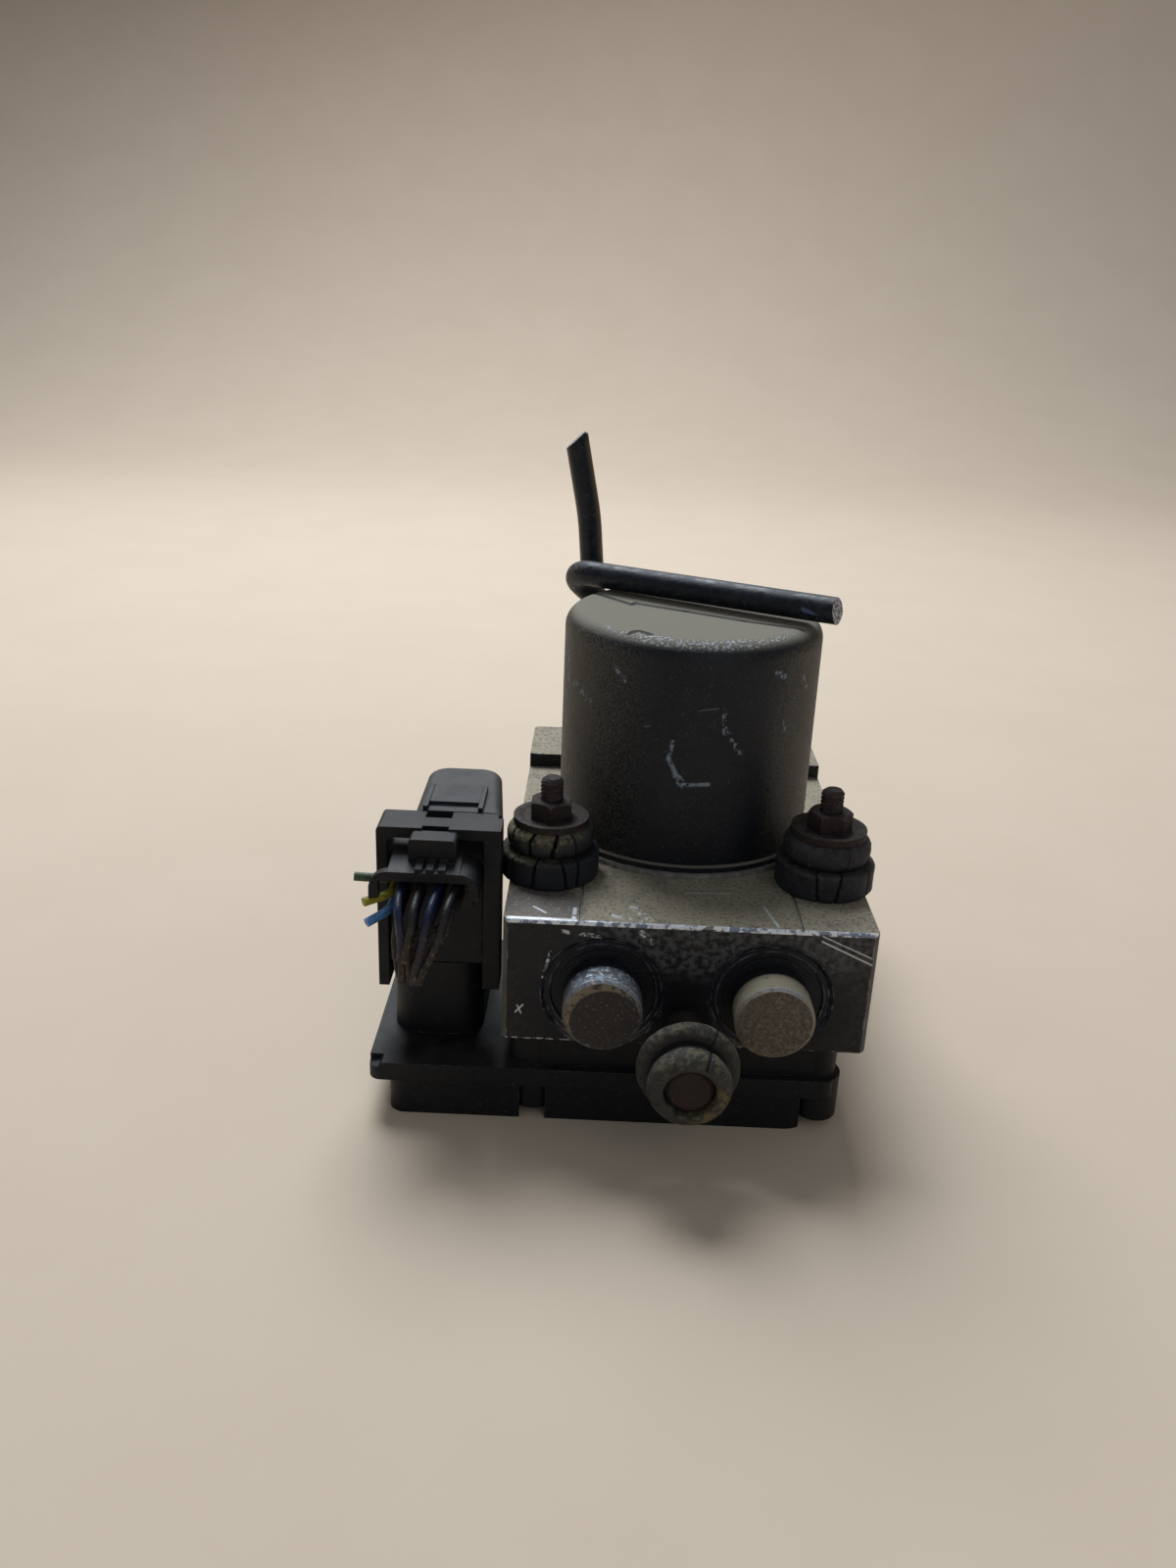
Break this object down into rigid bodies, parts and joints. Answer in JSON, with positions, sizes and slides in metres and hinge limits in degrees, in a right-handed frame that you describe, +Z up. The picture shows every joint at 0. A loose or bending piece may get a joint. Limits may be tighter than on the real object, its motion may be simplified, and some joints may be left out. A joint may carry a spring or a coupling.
{
  "type": "abs brake module",
  "caption": "Anti-lock brake hydraulic unit: aluminium valve block, upright pump motor, control unit below with wing plug, rubber mounts and cut brake pipes",
  "frame": {"origin": "on the flat underside of the control unit's cover, directly below the pump motor's shaft", "axes": "+Z up along the motor shaft and the studs, -Y the front face with the accumulator cups and the rubber pin, -X the side with the wiring plug"},
  "size_m": [0.1297, 0.1565, 0.1575],
  "materials": {
    "raw_aluminium": "raw machined aluminium, grey-brown with age and dust",
    "cap_aluminium": "turned aluminium, dull, edges chipped bright",
    "black_can": "black paint on steel, scuffed and dusty",
    "plated_steel": "dull zinc-plated steel",
    "rusty_steel": "dark steel, brown with rust",
    "spring_steel": "bare spring steel",
    "pipe_black": "black plastic-coated steel tube, cut ends bright",
    "black_rubber": "hard black rubber, cracked and dusty",
    "black_plastic": "black glass-filled plastic, dusty",
    "grey_plastic": "dark grey plastic",
    "seal_silicone": "soft dark sealing rubber",
    "board_green": "green circuit board",
    "copper": "bare copper",
    "tinned_brass": "tinned brass terminals",
    "magnet_ferrite": "dark ferrite",
    "laminated_steel": "laminated steel",
    "carbon": "carbon brush",
    "green_insulation": "dull green wire insulation",
    "yellow_insulation": "dull yellow wire insulation",
    "blue_insulation": "light blue wire insulation",
    "dark_insulation": "dark wire insulation, dusty"
  },
  "bodies": {
    "unit": {"accumulator_caps": "cap_aluminium", "accumulator_seals": "seal_silicone", "accumulator_spring_left": "spring_steel", "accumulator_spring_right": "spring_steel", "brake_pipe_long": "pipe_black", "brake_pipe_upright": "pipe_black", "brush_plate": "black_plastic", "brush_springs": "spring_steel", "channel_plugs": "plated_steel", "circuit_board": "board_green", "connector_pins": "tinned_brass", "ecu_cover": "black_plastic", "ecu_gasket": "seal_silicone", "ecu_housing": "black_plastic", "ecu_screws": "plated_steel", "hydraulic_block": "raw_aluminium", "lower_grommet": "black_rubber", "lower_pin": "rusty_steel", "motor_bearings": "spring_steel", "motor_brushes": "carbon", "motor_can": "black_can", "motor_contact": "copper", "motor_end_plate": "plated_steel", "motor_magnets": "magnet_ferrite", "mount_nuts": "rusty_steel", "mount_washers": "rusty_steel", "mounting_studs": "rusty_steel", "pipe_nuts": "plated_steel", "plug_housing": "black_plastic", "pump_plugs": "plated_steel", "pump_spring_left": "spring_steel", "pump_spring_right": "spring_steel", "rubber_bushes": "black_rubber", "rubber_rings": "black_rubber", "solenoid_coils": "copper", "valve_cartridges": "plated_steel", "valve_springs": "spring_steel", "wire_blue": "blue_insulation", "wire_bundle": "dark_insulation", "wire_green": "green_insulation", "wire_seal": "seal_silicone", "wire_yellow": "yellow_insulation"},
    "rotor": {"motor_shaft": "spring_steel", "eccentric_bearing": "spring_steel", "armature_core": "laminated_steel", "armature_winding": "copper", "commutator": "copper"},
    "lever": {"plug_lever": "grey_plastic"},
    "pump_left": {"pump_piston_left": "plated_steel"},
    "accumulator_left": {"accumulator_piston_left": "raw_aluminium"},
    "pump_right": {"pump_piston_right": "plated_steel"},
    "accumulator_right": {"accumulator_piston_right": "raw_aluminium"},
    "valve_1": {"valve_plunger_1": "plated_steel"},
    "valve_2": {"valve_plunger_2": "plated_steel"},
    "valve_3": {"valve_plunger_3": "plated_steel"},
    "valve_4": {"valve_plunger_4": "plated_steel"},
    "valve_5": {"valve_plunger_5": "plated_steel"},
    "valve_6": {"valve_plunger_6": "plated_steel"},
    "valve_7": {"valve_plunger_7": "plated_steel"},
    "valve_8": {"valve_plunger_8": "plated_steel"}
  },
  "joints": [
    {"name": "rotor_spin", "type": "hinge", "parent": "unit", "child": "rotor", "pos_m": [0, 0, 0.08], "axis": [0, 0, 1], "continuous": true},
    {"name": "lever_swing", "type": "hinge", "parent": "unit", "child": "lever", "pos_m": [-0.0598, -0.023, 0.042], "axis": [-1, 0, 0], "range_deg": [0, 70]},
    {"name": "pump_left_stroke", "type": "slide", "parent": "unit", "child": "pump_left", "axis": [-1, 0, 0], "range_m": [0, 0.0024], "stiffness_N_per_m": 2000, "springref_m": -0.003, "deforming": ["pump_spring_left"]},
    {"name": "accumulator_left_stroke", "type": "slide", "parent": "unit", "child": "accumulator_left", "axis": [0, -1, 0], "range_m": [0, 0.007], "stiffness_N_per_m": 1500, "springref_m": -0.01, "deforming": ["accumulator_spring_left"]},
    {"name": "pump_right_stroke", "type": "slide", "parent": "unit", "child": "pump_right", "axis": [1, 0, 0], "range_m": [0, 0.0024], "stiffness_N_per_m": 2000, "springref_m": -0.003, "deforming": ["pump_spring_right"]},
    {"name": "accumulator_right_stroke", "type": "slide", "parent": "unit", "child": "accumulator_right", "axis": [0, -1, 0], "range_m": [0, 0.007], "stiffness_N_per_m": 1500, "springref_m": -0.01, "deforming": ["accumulator_spring_right"]},
    {"name": "valve_1_stroke", "type": "slide", "parent": "unit", "child": "valve_1", "axis": [0, 0, 1], "range_m": [0, 0.0005], "stiffness_N_per_m": 500, "springref_m": -0.004, "deforming": ["valve_springs"]},
    {"name": "valve_2_stroke", "type": "slide", "parent": "unit", "child": "valve_2", "axis": [0, 0, 1], "range_m": [0, 0.0005], "stiffness_N_per_m": 500, "springref_m": -0.004, "deforming": ["valve_springs"]},
    {"name": "valve_3_stroke", "type": "slide", "parent": "unit", "child": "valve_3", "axis": [0, 0, 1], "range_m": [0, 0.0005], "stiffness_N_per_m": 500, "springref_m": -0.004, "deforming": ["valve_springs"]},
    {"name": "valve_4_stroke", "type": "slide", "parent": "unit", "child": "valve_4", "axis": [0, 0, 1], "range_m": [0, 0.0005], "stiffness_N_per_m": 500, "springref_m": -0.004, "deforming": ["valve_springs"]},
    {"name": "valve_5_stroke", "type": "slide", "parent": "unit", "child": "valve_5", "axis": [0, 0, 1], "range_m": [0, 0.0005], "stiffness_N_per_m": 500, "springref_m": -0.004, "deforming": ["valve_springs"]},
    {"name": "valve_6_stroke", "type": "slide", "parent": "unit", "child": "valve_6", "axis": [0, 0, 1], "range_m": [0, 0.0005], "stiffness_N_per_m": 500, "springref_m": -0.004, "deforming": ["valve_springs"]},
    {"name": "valve_7_stroke", "type": "slide", "parent": "unit", "child": "valve_7", "axis": [0, 0, 1], "range_m": [0, 0.0005], "stiffness_N_per_m": 500, "springref_m": -0.004, "deforming": ["valve_springs"]},
    {"name": "valve_8_stroke", "type": "slide", "parent": "unit", "child": "valve_8", "axis": [0, 0, 1], "range_m": [0, 0.0005], "stiffness_N_per_m": 500, "springref_m": -0.004, "deforming": ["valve_springs"]}
  ]
}
